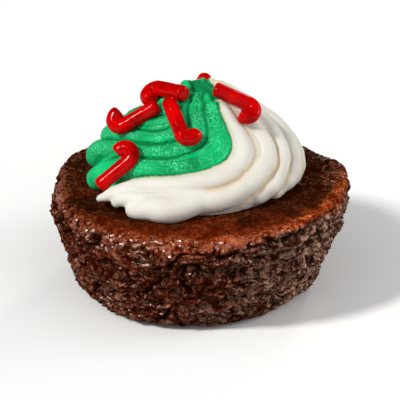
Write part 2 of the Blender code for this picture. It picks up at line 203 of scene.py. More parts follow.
def tube(points, radii, sides, flat=1.0):
    """A closed tube round a run of points, with a rounded cap at each end."""
    points = np.asarray(points, float)
    tangents = np.gradient(points, axis=0)
    tangents /= np.linalg.norm(tangents, axis=1)[:, None]
    side = np.cross(tangents[0], (0.0, 0.0, 1.0))
    if np.linalg.norm(side) < 0.2:
        side = np.cross(tangents[0], (0.0, 1.0, 0.0))
    side /= np.linalg.norm(side)
    a = np.arange(sides) * 2 * math.pi / sides
    rings = []

    def ring(p, t, s, r):
        u = np.cross(t, s)
        return p + r * (np.cos(a)[:, None] * s + np.sin(a)[:, None] * u)

    caps = (78.0, 62.0, 46.0, 31.0, 15.0)
    last = len(points) - 1
    for i, (p, t, r) in enumerate(zip(points, tangents, radii)):
        side = side - t * np.dot(side, t)
        side /= np.linalg.norm(side)
        if i == 0:
            for c in caps:
                rings.append(ring(p - t * r * flat * math.sin(math.radians(c)), t, side, r * math.cos(math.radians(c)) ** flat))
            cap0 = p - t * r * flat
        rings.append(ring(p, t, side, r))
        if i == last:
            for c in reversed(caps):
                rings.append(ring(p + t * r * flat * math.sin(math.radians(c)), t, side, r * math.cos(math.radians(c)) ** flat))
            cap1 = p + t * r * flat
    verts = np.concatenate(rings + [cap0[None], cap1[None]])
    n = len(rings)
    faces = []
    for i in range(n - 1):
        for j in range(sides):
            k = (j + 1) % sides
            faces.append((i * sides + j, i * sides + k, (i + 1) * sides + k, (i + 1) * sides + j))
    for j in range(sides):
        k = (j + 1) % sides
        faces.append((n * sides, k, j))
        faces.append((n * sides + 1, (n - 1) * sides + j, (n - 1) * sides + k))
    return verts, faces


# ================================================================== brownie
rng = np.random.default_rng(11)
LUMP_WAVES = [(int(rng.integers(2, 9)), rng.uniform(0.15, 0.75), rng.uniform(0, 2 * math.pi), rng.uniform(0, 2 * math.pi)) for _ in range(12)]


def brownie_top(x, y):
    return BROWNIE_HEIGHT + TOP_RISE * x / BROWNIE_TOP_R


def wall_radius(z):
    u = (z - BROWNIE_FOOT_ROUND) / (BROWNIE_HEIGHT - SHOULDER_ROUND - BROWNIE_FOOT_ROUND)
    if u > 1.0:
        return BROWNIE_TOP_R + 0.5 * (u - 1.0)
    return BROWNIE_FOOT_R + (BROWNIE_TOP_R - BROWNIE_FOOT_R) * u + BROWNIE_BOW * 4.0 * u * (1.0 - u)


def lump(a, s):
    total = np.zeros(np.broadcast(a, s).shape)
    for n, k, p, q in LUMP_WAVES:
        total = total + np.sin(n * a + p) * np.sin(k * s + q) / (1.0 + 0.12 * n)
    return total / 2.6


def tuck(a, z):
    """The lower wall is drawn in a little towards +X -Y."""
    return 1.0 - 0.028 * max(0.0, math.cos(a + math.radians(35.0))) * float(1.0 - smooth(3.0, 13.0, z))


def brownie_profile(a):
    """Radius, level and lump parameter at the CAD's own profile points for azimuth a."""
    rs = SHOULDER_ROUND - SHOULDER_VARIES * math.cos(a)
    rf = BROWNIE_FOOT_ROUND
    h = BROWNIE_HEIGHT + TOP_RISE * math.cos(a) * 0.97
    flat = BROWNIE_FOOT_R - rf
    pts = [(flat * f, 0.0) for f in (0.35, 0.7, 1.0)]
    for k in (0.3, 0.52, 0.70):
        ang = -math.pi / 2 * (1.0 - k)
        pts.append((flat + rf * math.cos(ang), rf + rf * math.sin(ang)))
    for k in (0.02, 0.16, 0.32, 0.49, 0.66, 0.83, 1.0):
        z = rf + (h - rs - rf) * k
        pts.append((wall_radius(z), z))
    cx = wall_radius(h - rs) - rs
    for k in (0.3, 0.58, 0.82, 1.0):
        ang = k * math.pi / 2
        pts.append((cx + rs * math.cos(ang), h - rs + rs * math.sin(ang)))
    for f in (0.93, 0.84, 0.6, 0.3):
        pts.append((cx * f, None))
    out = []
    s = 0.0
    rings = len(pts)
    for i, (r, z) in enumerate(pts):
        if i:
            s += 1.5
        amount = LUMPS * (0.0 if i < 2 else 0.35 if i == 2 else 1.0)
        on_top = z is None
        if on_top:
            z = brownie_top(r * math.cos(a), r * math.sin(a))
            if i <= rings - 4:
                z += -0.12 + 0.2 * LUMPS * float(lump(a, s))
            amount = 0.0
        d = amount * float(lump(a, s))
        if i > 2 and not on_top and i > rings - 9:
            z += 0.5 * d
        out.append(((r + d) * tuck(a, z), z))
    return out


def spline(points, count):
    """Evenly spaced points on a Catmull-Rom curve through the given ones."""
    p = np.asarray(points, float)
    q = np.concatenate([2 * p[:1] - p[1:2], p, 2 * p[-1:] - p[-2:-1]])
    out = []
    for i in range(len(p) - 1):
        a, b, c, d = q[i], q[i + 1], q[i + 2], q[i + 3]
        for t in np.linspace(0, 1, 24, endpoint=False):
            out.append(0.5 * ((2 * b) + (c - a) * t + (2 * a - 5 * b + 4 * c - d) * t * t + (3 * b - a - 3 * c + d) * t ** 3))
    out.append(p[-1])
    out = np.array(out)
    s = np.concatenate([[0], np.cumsum(np.linalg.norm(np.diff(out, axis=0), axis=1))])
    t = np.linspace(0, s[-1], count)
    return np.stack([np.interp(t, s, out[:, 0]), np.interp(t, s, out[:, 1])], -1)


def slump(x, y, z):
    """How far the rim and the upper wall are sunk or raised; nothing moves under the frosting."""
    a = np.degrees(np.arctan2(y, x)) % 360.0
    dip = RIM_DIP * smooth(0.0, 38.0, a) * (1.0 - smooth(62.0, 110.0, a))
    proud = RIM_PROUD * np.exp(-((a - 157.0) / 11.0) ** 2)
    return (proud - dip) * smooth(17.5, 22.3, np.hypot(x, y - SWIRL_Y)) * smooth(6.0, 15.0, z)


def build_brownie():
    turns, rows, keys = 640, 150, 60
    base = []
    for j in range(keys):
        a = 2 * math.pi * j / keys
        prof = brownie_profile(a)
        base.append(spline(prof[2:-2], 1200))      # from the flat base's rim over the wall and in under the frosting
    base = np.array(base)                          # keys x samples x 2
    # fine rows where the crumb shows, coarse ones under the frosting
    want = np.ones(1200)
    want[base[0, :, 1] > BROWNIE_HEIGHT - 1.0] = 1.0
    inner = (base[..., 0].mean(0) < 13.0) & (base[..., 1].mean(0) > BROWNIE_HEIGHT - 2.0)
    want[inner] = 0.12
    want[base[..., 1].mean(0) < 0.05] = 0.5
    cum = np.concatenate([[0], np.cumsum(0.5 * (want[1:] + want[:-1]))])
    pick = np.interp(np.linspace(0, cum[-1], rows), cum, np.arange(1200))
    lo_i = np.minimum(pick.astype(int), 1198)
    fr = (pick - lo_i)[None, :, None]
    base = base[:, lo_i] * (1 - fr) + base[:, lo_i + 1] * fr
    # round the cake with a periodic cubic
    pos = np.arange(turns) * keys / turns
    i0 = np.floor(pos).astype(int)
    t = (pos - i0)[:, None, None]
    a_, b_, c_, d_ = base[(i0 - 1) % keys], base[i0 % keys], base[(i0 + 1) % keys], base[(i0 + 2) % keys]
    fine = 0.5 * ((2 * b_) + (c_ - a_) * t + (2 * a_ - 5 * b_ + 4 * c_ - d_) * t * t + (3 * b_ - a_ - 3 * c_ + d_) * t ** 3)
    ang = np.arange(turns) * 2 * math.pi / turns
    R, Z = fine[..., 0], np.maximum(fine[..., 1], 0.0)
    X, Y = R * np.cos(ang)[:, None], R * np.sin(ang)[:, None]
    Z = Z + slump(X, Y, Z)
    P = np.stack([X, Y, Z], -1)
    # outward normals of the smooth form
    du = np.roll(P, -1, 0) - np.roll(P, 1, 0)
    dv = np.gradient(P, axis=1)
    N = np.cross(du, dv)
    N /= np.linalg.norm(N, axis=-1)[..., None] + 1e-12
    p, n = P.reshape(-1, 3), N.reshape(-1, 3)
    if (n[:, 0] * p[:, 0] + n[:, 1] * p[:, 1])[: rows * 4].mean() < 0:
        n = -n

    A = np.repeat(ang, rows)
    z = p[:, 2]
    up = np.clip(n[:, 2], 0, 1)
    wall = 1.0 - smooth(0.35, 0.85, up)
    top = smooth(0.75, 0.97, up)
    shoulder = np.clip(1.0 - wall - top, 0, 1)
    rho = np.hypot(p[:, 0], p[:, 1])
    hidden = 1.0 - smooth(12.5, 14.0, np.hypot(p[:, 0], p[:, 1] - SWIRL_Y))      # under the frosting
    low = 1.0 - smooth(0.0, 2.2, z)

    a, b, c, d = Noise(3), Noise(5), Noise(8), Noise(13)
    flatz = np.array([1.0, 1.0, 2.4])
    warp = 1.3 * np.stack([a.perlin(p / 3.1), a.perlin(p / 3.1 + 9.1), 0.9 * a.perlin(p / 3.1 + 23.7)], -1)
    # crumb: soft lumps, granules with sharp valleys between them, and grit
    lumps = a.fbm(p * flatz / 5.0, 3)
    torn = b.fbm((p + 0.5 * warp) * (1.0, 1.0, 2.5) / 2.1, 3, 0.55)
    g1, g2 = d.cells((p + 0.45 * warp) * (1, 1, 1.9) / 1.15 + 7.0)
    granule = 1.0 - smooth(0.0, 0.75, g1)
    h1, h2 = b.cells((p + 0.30 * warp) * (1, 1, 1.5) / 0.66 + 3.0)
    crumb = 1.0 - smooth(0.0, 0.75, h1)
    grit = c.perlin(p / 0.50)
    # torn crevices, lying level, in patches
    line1 = np.abs(c.perlin((p + warp) * (1.0, 1.0, 3.0) / 5.0))
    line2 = np.abs(d.perlin((p + 0.8 * warp) * (1.0, 1.0, 2.6) / 2.7 + 4.2))
    patch = smooth(-0.28, 0.02, a.fbm(p * (1, 1, 1.8) / 6.0 + 31.0, 2))
    # widest towards -X -Y
    wide = smooth(0.45, 0.98, np.cos(A - math.radians(242)))
    crack = (1.0 - smooth(0.03, 1.0, line1 / (0.115 + 0.065 * wide) * (1.0 - 0.03) + 0.03)) * patch
    hair = (1.0 - smooth(0.01, 0.10, line2)) * smooth(-0.25, 0.15, b.fbm(p / 4.0 + 11.0, 2))
    # open pores where crumbs were torn out
    f1, f2 = b.cells((p + 0.6 * warp) * (1, 1, 1.7) / 2.3)
    pore = (1.0 - smooth(0.10, 0.36, f1)) * smooth(0.0, 0.3, c.fbm(p / 5.0 + 3.0, 2))
    # dry plates on the +X side
    k1, k2 = a.cells((p + 0.6 * warp) * (1, 1, 1.35) / 3.3 + 2.0)
    side = smooth(8.0, 19.0, p[:, 0] - 0.25 * p[:, 1])
    plate = (1.0 - smooth(0.02, 0.15, k2 - k1)) * side * smooth(-0.12, 0.22, c.fbm(p / 3.4 + 41.0, 2))

    strata = a.fbm((p + 0.9 * warp) * (1.0, 1.0, 3.0) / 4.2 + 51.0, 2)
    shelf = np.sign(strata) * np.abs(strata) ** 0.75
    rough = wall * (0.24 * lumps + 0.50 * shelf + 0.42 * torn + 0.11 * (granule - 0.55) + 0.06 * (crumb - 0.5) + 0.04 * grit - 0.24)
    rough -= wall * (1.55 * crack + 0.50 * hair + 0.75 * pore + 0.60 * plate)
    skin = shoulder * (0.24 * lumps + 0.12 * torn + 0.12 * (granule - 0.5) + 0.09 * (crumb - 0.5) + 0.05 * grit - 0.14 - 0.30 * crack - 0.20 * hair - 0.25 * pore)
    crinkle = np.abs(b.perlin((p + 0.5 * warp) / 1.7 + 17.0))
    skin += top * (0.17 * lumps + 0.08 * torn + 0.16 * (crinkle - 0.25) + 0.05 * (granule - 0.5) + 0.06 * (crumb - 0.5) + 0.04 * grit - 0.10 * hair - 0.06 * crack)
    disp = (rough + skin) * (1 - hidden) * (1.0 - 0.5 * low)
    disp = np.minimum(disp, 0.26)
    q = p + n * disp[:, None]
    # ragged foot, still resting flat
    q[:, 2] = np.maximum(q[:, 2], 0.0)
    lowest = np.arange(len(q)) % rows == 0
    q[lowest, 2] = 0.0

    verts = np.concatenate([q, [[0, 0, 0.0]], [[0, 0, brownie_top(0, 0)]]])
    jj, ii = np.meshgrid(np.arange(turns), np.arange(rows - 1), indexing="ij")
    k = (jj + 1) % turns
    quad = np.stack([jj * rows + ii, k * rows + ii, k * rows + ii + 1, jj * rows + ii + 1], -1).reshape(-1, 4)
    faces = quad.tolist()
    lo, hi = len(q), len(q) + 1
    for j in range(turns):
        k = (j + 1) % turns
        faces.append((lo, k * rows, j * rows))
        faces.append((hi, j * rows + rows - 1, k * rows + rows - 1))
    ob = new_object("brownie_crumb", verts, faces)
    me = ob.data
    two = lambda v: np.concatenate([v, [0.0, 0.0]])
    # painted shade: cracks, pores, plate joints, the gaps between granules and the low-lying crumb, where the colour is
    # darkened almost to black
    crevice_shade = wall * (1.0 * crack + 0.55 * hair + 0.8 * pore + 0.85 * plate) + shoulder * (0.7 * crack + 0.4 * hair + 0.5 * pore) + top * 0.35 * hair
    crevice_shade = np.clip(crevice_shade + 0.25 * (1 - granule) * (1 - 0.6 * top) * smooth(0.5, 0.9, g1) + 0.55 * wall * smooth(0.05, 0.5, -0.6 * strata - 0.6 * torn), 0, 1)
    attribute(me, "crevice_shade", two(crevice_shade))
    attribute(me, "height", two(np.clip(0.45 + 0.3 * lumps + 0.5 * torn + 0.5 * strata + 0.25 * (granule - 0.5) + 0.15 * (crumb - 0.5), 0, 1)))
    attribute(me, "topface", two(top))
    # painted light along the thin edge of the top, strongest towards +X -Y: the edge is coloured bright orange as
    # though light caught it, over the crust's own red
    front = smooth(0.30, 0.97, np.cos(A - math.radians(-52)))
    width = 1.1 + 2.6 * smooth(0.1, 0.8, np.cos(A + math.radians(72)))
    rim = smooth(0.25, 0.75, up) * (1.0 - smooth(0.93, 1.0, up) * smooth(0.3 * width, width, BROWNIE_TOP_R - 0.4 - rho)) * front
    attribute(me, "rim", two(np.clip(rim, 0, 1)))
    # painted sheen: the +X wall and the foot of the wall are given a pale grey-brown, standing in for light glancing
    # off the plates and for the floor's reflection
    attribute(me, "painted_sheen", two(np.clip(side * wall + 0.30 * wall * (1.0 - smooth(2.5, 9.0, z)), 0, 1)))
    # the crust is reddest along the edge of its -Y side and darker inwards towards the frosting, which is painted
    # shade; painted shade also darkens the top towards +X +Y, behind the frosting from the key lamp, and painted light
    # brightens the wall towards -X -Y, the side the key lamp lights
    ring = smooth(16.5, 23.0, rho)
    attribute(me, "redness_and_painted_light", two(smooth(0.30, 0.98, np.cos(A + math.radians(88))) * (0.25 + 0.75 * ring) * top - 0.60 * top * smooth(0.1, 0.85, np.cos(A - math.radians(30))) + (1.0 - top) * smooth(0.15, 0.95, np.cos(A - math.radians(215)))))
    # the top is smoothest close to the frosting
    attribute(me, "calm", two(top * (1.0 - smooth(19.6, 22.4, rho + 0.8 * lumps))))
    # and most sugary, so shiniest, on the shoulder towards -X
    west = smooth(-0.1, 0.75, np.cos(A - math.radians(228)))
    south = smooth(0.1, 0.9, np.cos(A + math.radians(75)))
    gloss = shoulder * (0.25 + 0.85 * west + 0.55 * south) + wall * (0.08 + 0.34 * west) + top * (0.12 + 0.32 * smooth(0.2, 0.9, np.cos(A - math.radians(55))) + 0.22 * west + 0.50 * smooth(0.60, 0.98, np.cos(A + math.radians(88))) * smooth(20.8, 22.6, rho) - 0.45 * south * (1.0 - smooth(19.8, 22.2, rho)))
    attribute(me, "gloss", two(np.clip(gloss, -0.5, 1)))
    return ob


# ================================================================== frosting
def swirl_radius(z):
    return np.interp(z, SWIRL_Z, SWIRL_R)


def swirl_centre(z):
    u = np.clip(z / SWIRL_HEIGHT, 0.0, 1.1) ** 2
    return PEAK_DRIFT[0] * u, SWIRL_Y + PEAK_DRIFT[1] * u


def on_swirl(phi, z, depth, outward=0.0):
    z = np.asarray(z, float)
    lo, hi = np.maximum(z - 0.4, 0.0), np.minimum(z + 0.4, SWIRL_HEIGHT)
    slope = (swirl_radius(hi) - swirl_radius(lo)) / (hi - lo)
    nr = 1.0 / np.sqrt(1.0 + slope * slope)
    nz = -slope * nr
    r = swirl_radius(z) - depth * nr + outward
    cx, cy = swirl_centre(z)
    a = np.radians(phi)
    return np.stack([cx + r * np.cos(a), cy + r * np.sin(a), z - depth * nz], -1)


def ridge(start, turn, level, rise, radius, thin, bulge, hold, drift, corner, dip, steps=90):
    ang = np.linspace(0.0, 1.0, steps) * math.pi / 2
    along = np.sin(ang) ** (2.0 / corner)
    even = np.linspace(0.0, 1.0, steps)
    along = np.maximum.accumulate(np.where(even < 0.5, np.minimum(along, even * 1.6), along))
    along[-1] = 1.0
    climb = 1.0 - (1.0 - along ** corner) ** (1.0 / corner)
    run = level * (1.0 - dip * np.exp(-along / 0.10)) + rise * along
    z = run + (SWIRL_HEIGHT - 0.5 - run) * climb
    phi = start + (turn - start) * along - drift * climb ** 2
    r = radius * (thin + (1.0 - thin) * smooth(0.0, 0.14, along)) * (1.0 - 0.5 * climb)
    out = bulge * (1.0 - smooth(hold, hold + 0.25, along))
    return on_swirl(phi, np.maximum(z, 0.25 * radius), r * 0.95, out), r


def pulled_tip():
    (a0, z0, o0, r0), (a1, z1, o1, r1) = TIP
    t = np.linspace(0.0, 1.0, 16)
    return on_swirl(a0 + (a1 - a0) * t, z0 + (z1 - z0) * t, 0.9, o0 + (o1 - o0) * t), r0 + (r1 - r0) * t


def crown():
    """A low dome that closes the peak inside the last turn."""
    cx, cy = CROWN[0], CROWN[1]
    sides, verts, faces = 40, [], []
    rings = [(-90, 1)] + [(b, 0) for b in (-60, -30, 0, 20, 40, 58, 74)] + [(90, 1)]
    for b, _ in rings[1:-1]:
        for j in range(sides):
            a = 2 * math.pi * j / sides
            r = CROWN[3] * math.cos(math.radians(b))
            verts.append((cx + r * math.cos(a), cy + r * math.sin(a), CROWN[2] + CROWN[4] * math.sin(math.radians(b))))
    n = len(rings) - 2
    for i in range(n - 1):
        for j in range(sides):
            k = (j + 1) % sides
            faces.append((i * sides + j, i * sides + k, (i + 1) * sides + k, (i + 1) * sides + j))
    verts += [(cx, cy, CROWN[2] - CROWN[4]), (cx, cy, CROWN[2] + CROWN[4])]
    for j in range(sides):
        k = (j + 1) % sides
        faces.append((n * sides, k, j))
        faces.append((n * sides + 1, (n - 1) * sides + j, (n - 1) * sides + k))
    return np.array(verts), faces


def web():
    (a0, z0, o0, r0), (a1, z1, o1, r1) = WEB
    t = np.linspace(0.0, 1.0, 40)
    return on_swirl(a0 + (a1 - a0) * t, z0 + (z1 - z0) * t, 0.9, o0 + (o1 - o0) * t), r0 + (r1 - r0) * t


def top_lip():
    cx, cy, radius, a0, a1, level, thick = LIP
    t = np.linspace(0.0, 1.0, 30)
    a = np.radians(a0 + (a1 - a0) * t)
    r = thick * (0.72 + 0.28 * np.sin(math.pi * t))
    return np.stack([cx + radius * np.cos(a), cy + radius * np.sin(a), level - 1.1 * np.clip(np.sin(a), 0.0, 1.0)], -1), r


def core():
    sides = 72
    levels = np.concatenate([[-1.2], np.linspace(0.0, SWIRL_HEIGHT - 1.0, 30)])
    verts, faces = [], []
    for z in levels:
        zz = max(z, 0.0)
        f = zz / SWIRL_HEIGHT
        r = max(swirl_radius(zz) - (CORE_INSET[0] * (1 - f) + CORE_INSET[1] * f), 0.6)
        cx, cy = swirl_centre(zz)
        for j in range(sides):
            a = 2 * math.pi * j / sides
            fill = 0.65 * float(smooth(-0.1, 0.75, math.cos(a - math.radians(228.0)))) * (1.0 - 0.6 * f)
            fill += 0.35 * float(smooth(0.2, 0.95, math.cos(a - math.radians(335.0))))
            verts.append((cx + (r + fill) * math.cos(a), cy + (r + fill) * math.sin(a), z))
    n = len(levels)
    for i in range(n - 1):
        for j in range(sides):
            k = (j + 1) % sides
            faces.append((i * sides + j, i * sides + k, (i + 1) * sides + k, (i + 1) * sides + j))
    faces.append(tuple(reversed(range(sides))))
    faces.append(tuple((n - 1) * sides + j for j in range(sides)))
    return np.array(verts), faces


def build_frosting():
    verts, faces, count = [], [], 0
    lines = {}
    parts = [core()]
    for name, spec in RIDGES.items():
        line, radii = ridge(*spec)
        lines[name] = (line, radii)
        parts.append(tube(line, radii, 22))
    parts.append(tube(*pulled_tip(), 16))
    lines["web"] = web()
    parts.append(tube(*lines["web"], 18))
    lines["lip"] = top_lip()
    parts.append(tube(*lines["lip"], 18))
    parts.append(crown())
    for v, f in parts:
        verts.append(v)
        faces += [tuple(i + count for i in face) for face in f]
        count += len(v)
    raw = new_object("frosting_raw", np.concatenate(verts), faces, smooth_shade=False)
    m = raw.modifiers.new("skin", "REMESH")
    m.mode = "VOXEL"
    m.voxel_size = 0.185 * MM
    m = raw.modifiers.new("soften", "SMOOTH")
    m.factor = 0.5
    m.iterations = 5
    me = evaluated(raw)
    bpy.data.objects.remove(raw)
    ob = bpy.data.objects.new("frosting_swirl", me)
    bpy.context.scene.collection.objects.link(ob)
    # cut the foot
    bm = bmesh.new()
    bm.from_mesh(me)
    cut = bmesh.ops.bisect_plane(bm, geom=bm.verts[:] + bm.edges[:] + bm.faces[:], plane_co=(0, 0, -0.25 * MM), plane_no=(0, 0, 1), clear_inner=True)
    edges = [e for e in bm.edges if e.is_boundary]
    bmesh.ops.holes_fill(bm, edges=edges, sides=0)
    bm.to_mesh(me)
    bm.free()

    co = coords(me)
    no = normals(me)
    # nearest ridges
    names = list(lines)
    best = np.full((len(co), len(names)), 99.0)
    where = np.zeros((len(co), len(names)), int)
    for k, name in enumerate(names):
        line, radii = lines[name]
        for s in range(0, len(co), 20000):
            d = np.sqrt(((co[s:s + 20000, None, :] - line[None]) ** 2).sum(-1)) - radii[None]
            where[s:s + 20000, k] = d.argmin(1)
            best[s:s + 20000, k] = d.min(1)
    order = np.sort(best, axis=1)
    near = best.argmin(1)
    crest = smooth(0.05, 1.1, order[:, 1] - order[:, 0])
    green_ids = [i for i, nme in enumerate(names) if nme in GREEN]
    white_ids = [i for i, nme in enumerate(names) if nme not in GREEN]
    a, b, c = Noise(21), Noise(22), Noise(23)
    margin = best[:, white_ids].min(1) - best[:, green_ids].min(1)
    wander = 0.20 * a.fbm(co / 2.2, 2) + 0.07 * b.perlin(co / 0.5)
    # the lip carries the green over the top of the peak, down to a white back
    over = smooth(13.6, 14.6, co[:, 2]) * (1.0 - smooth(-0.2, 0.5, co[:, 0] - 2.6 + 0.35 * (co[:, 1] - 3.0)))
    margin = np.maximum(margin, -2.0 + 4.0 * over)
    # the tail covers the green where it starts
    around = np.degrees(np.arctan2(co[:, 1] - SWIRL_Y, co[:, 0])) % 360.0
    tail = smooth(204.0, 208.0, around) * (1.0 - smooth(232.0, 240.0, around)) * (1.0 - smooth(0.9, 1.5, co[:, 2]))
    margin = margin - 3.0 * tail
    mask = smooth(-0.22, 0.16, margin + wander)
    # painted reflection: how much the white near the green takes the green light bounced off it
    green_bounce = smooth(-1.5, 0.1, margin + 1.4 * wander)

    # streaks that follow the ridges
    t_along = np.zeros(len(co))
    lateral = np.zeros(len(co))
    for k, name in enumerate(names):
        sel = near == k
        if not sel.any():
            continue
        line, radii = lines[name]
        s = np.concatenate([[0], np.cumsum(np.linalg.norm(np.diff(line, axis=0), axis=1))])
        tan = np.gradient(line, axis=0)
        tan /= np.linalg.norm(tan, axis=1)[:, None]
        w = where[sel, k]
        off = co[sel] - line[w]
        side = np.cross(tan[w], no[sel])
        side /= np.linalg.norm(side, axis=1)[:, None] + 1e-9
        lateral[sel] = (off * side).sum(1)
        t_along[sel] = s[w] + (off * tan[w]).sum(1)
    key = np.stack([t_along / 4.5, lateral / 0.55, near * 7.3], -1)
    streak = b.fbm(key, 2)
    fine = c.perlin(np.stack([t_along / 1.6, lateral / 0.28, near * 3.1], -1))
    edge = 1.0 - smooth(0.0, 0.75, order[:, 1] - order[:, 0])
    chips = a.perlin(np.stack([t_along / 0.8, lateral / 0.9, near * 5.7], -1))
    swell = a.fbm(co / 3.6 + 5.0, 2)
    grain = c.perlin(co / 0.42)
    foot = 1.0 - smooth(0.0, 1.2, co[:, 2])
    groove = 1.0 - smooth(0.0, 0.55, order[:, 1] - order[:, 0])
    joined = 1.0 - smooth(0.3, 1.6, best[:, names.index("web")])
    groove *= 1.0 - joined
    crest = np.maximum(crest, joined)
    speckle = b.perlin(co / 0.40 + 3.0)
    disp = 0.10 * swell + 0.040 * streak + 0.014 * fine + edge * 0.07 * chips + 0.008 * grain - 0.13 * groove
    disp += mask * (0.085 * streak + 0.022 * grain + 0.040 * speckle + 0.14 * edge * chips)
    climbs = np.isin(near, [names.index(n) for n in names if n in ("b", "c") or (n[0] == "a" and n not in GREEN)])
    steep = smooth(1.0, 4.5, co[:, 2]) * (1.0 - smooth(11.0, 13.5, co[:, 2])) * smooth(-0.35, 0.25, np.cos(np.arctan2(co[:, 1] - SWIRL_Y, co[:, 0]) - math.radians(-30)))
    disp += climbs * steep * (0.34 * np.exp(-((lateral * KNIFE - 0.25) / 0.42) ** 2) - 0.10) * smooth(-60.0, -25.0, np.degrees(np.arctan2(co[:, 1] - SWIRL_Y, co[:, 0])))
    disp -= 0.10 * mask * groove
    disp *= 1.0 - 0.7 * foot
    co = co + no * disp[:, None]
    # settle on the brownie's top
    fade = np.exp(-np.maximum(co[:, 2], 0.0) / 3.0)
    co[:, 2] += SWIRL_LEVEL + (brownie_top(co[:, 0], co[:, 1]) - SWIRL_LEVEL) * fade
    set_coords(me, co)
    me.shade_smooth()
    attribute(me, "green", mask)
    attribute(me, "green_bounce", green_bounce)
    attribute(me, "crest", crest)
    attribute(me, "streak", 0.5 + 0.5 * streak)
    return ob


# ================================================================== candy canes
def cane_line(stem_end, direction, hook_side, stem, hook, turn):
    p = np.array(stem_end)
    u = np.array(direction) / np.linalg.norm(direction)
    v = np.array(hook_side)
    v = v - u * np.dot(u, v)
    v /= np.linalg.norm(v)
    total = stem + hook * math.radians(turn)
    pts = []
    for s in np.linspace(0.0, total, 64):
        if s < stem:
            pts.append(p + u * s)
        else:
            a = (s - stem) / hook
            pts.append(p + u * stem + u * hook * math.sin(a) + v * hook * (1.0 - math.cos(a)))
    return np.array(pts)


def build_cane(name, spec, seed):
    line = cane_line(*spec[:6])
    t = np.linspace(0, 1, len(line))
    n = Noise(seed)
    wave = n.fbm(np.stack([t * 5.0, t * 0, t * 0], -1) + 3.3, 2)
    radii = CANE_R * spec[6] * (1.0 + 0.05 * wave) * (1.0 + 0.07 * smooth(0.62, 0.85, t))
    verts, faces = tube(line, radii, 30, flat=0.50)
    raw = new_object(name + "_raw", verts, faces)
    m = raw.modifiers.new("skin", "REMESH")
    m.mode = "VOXEL"
    m.voxel_size = 0.10 * MM
    m = raw.modifiers.new("soften", "SMOOTH")
    m.factor = 0.5
    m.iterations = 4
    me = evaluated(raw)
    bpy.data.objects.remove(raw)
    ob = bpy.data.objects.new(name + "_candy", me)
    bpy.context.scene.collection.objects.link(ob)
    co, no = coords(me), normals(me)
    d = 0.045 * n.fbm(co / 1.4, 2) + 0.014 * n.perlin(co / 0.5)
    set_coords(me, co + no * d[:, None])
    me.shade_smooth()
    return ob


# ================================================================== crumbs
def build_crumbs(brownie):
    """Loose crumbs that cling to the brownie's wall and rim."""
    co, no = coords(brownie.data), normals(brownie.data)
    r = np.random.default_rng(77)
    ok = np.where((co[:, 2] > 1.0) & (no[:, 2] < 0.97) & (np.hypot(co[:, 0], co[:, 1]) > 19.0))[0]
    picks = r.choice(ok, 110, replace=False)
    verts, faces, count = [], [], 0
    for i in picks:
        bm = bmesh.new()
        bmesh.ops.create_icosphere(bm, subdivisions=2, radius=1.0)
        v = np.array([list(x.co) for x in bm.verts])
        f = [[x.index for x in face.verts] for face in bm.faces]
        bm.free()
        size = 0.14 + 0.24 * r.random() ** 2.2
        stretch = np.array([1.0, 0.8, 0.65]) * (1 + 0.25 * r.normal(size=3))
        nz = Noise(int(r.integers(1e6)))
        v = v * (1.0 + 0.45 * nz.perlin(v * 1.3 + 5.0))[:, None] * stretch * size
        rot = np.linalg.qr(r.normal(size=(3, 3)))[0]
        v = v @ rot + co[i] + no[i] * size * 0.25
        v[:, 2] = np.maximum(v[:, 2], 0.02)
        verts.append(v)
        faces += [tuple(k + count for k in face) for face in f]
        count += len(v)
    return new_object("brownie_bits", np.concatenate(verts), faces)


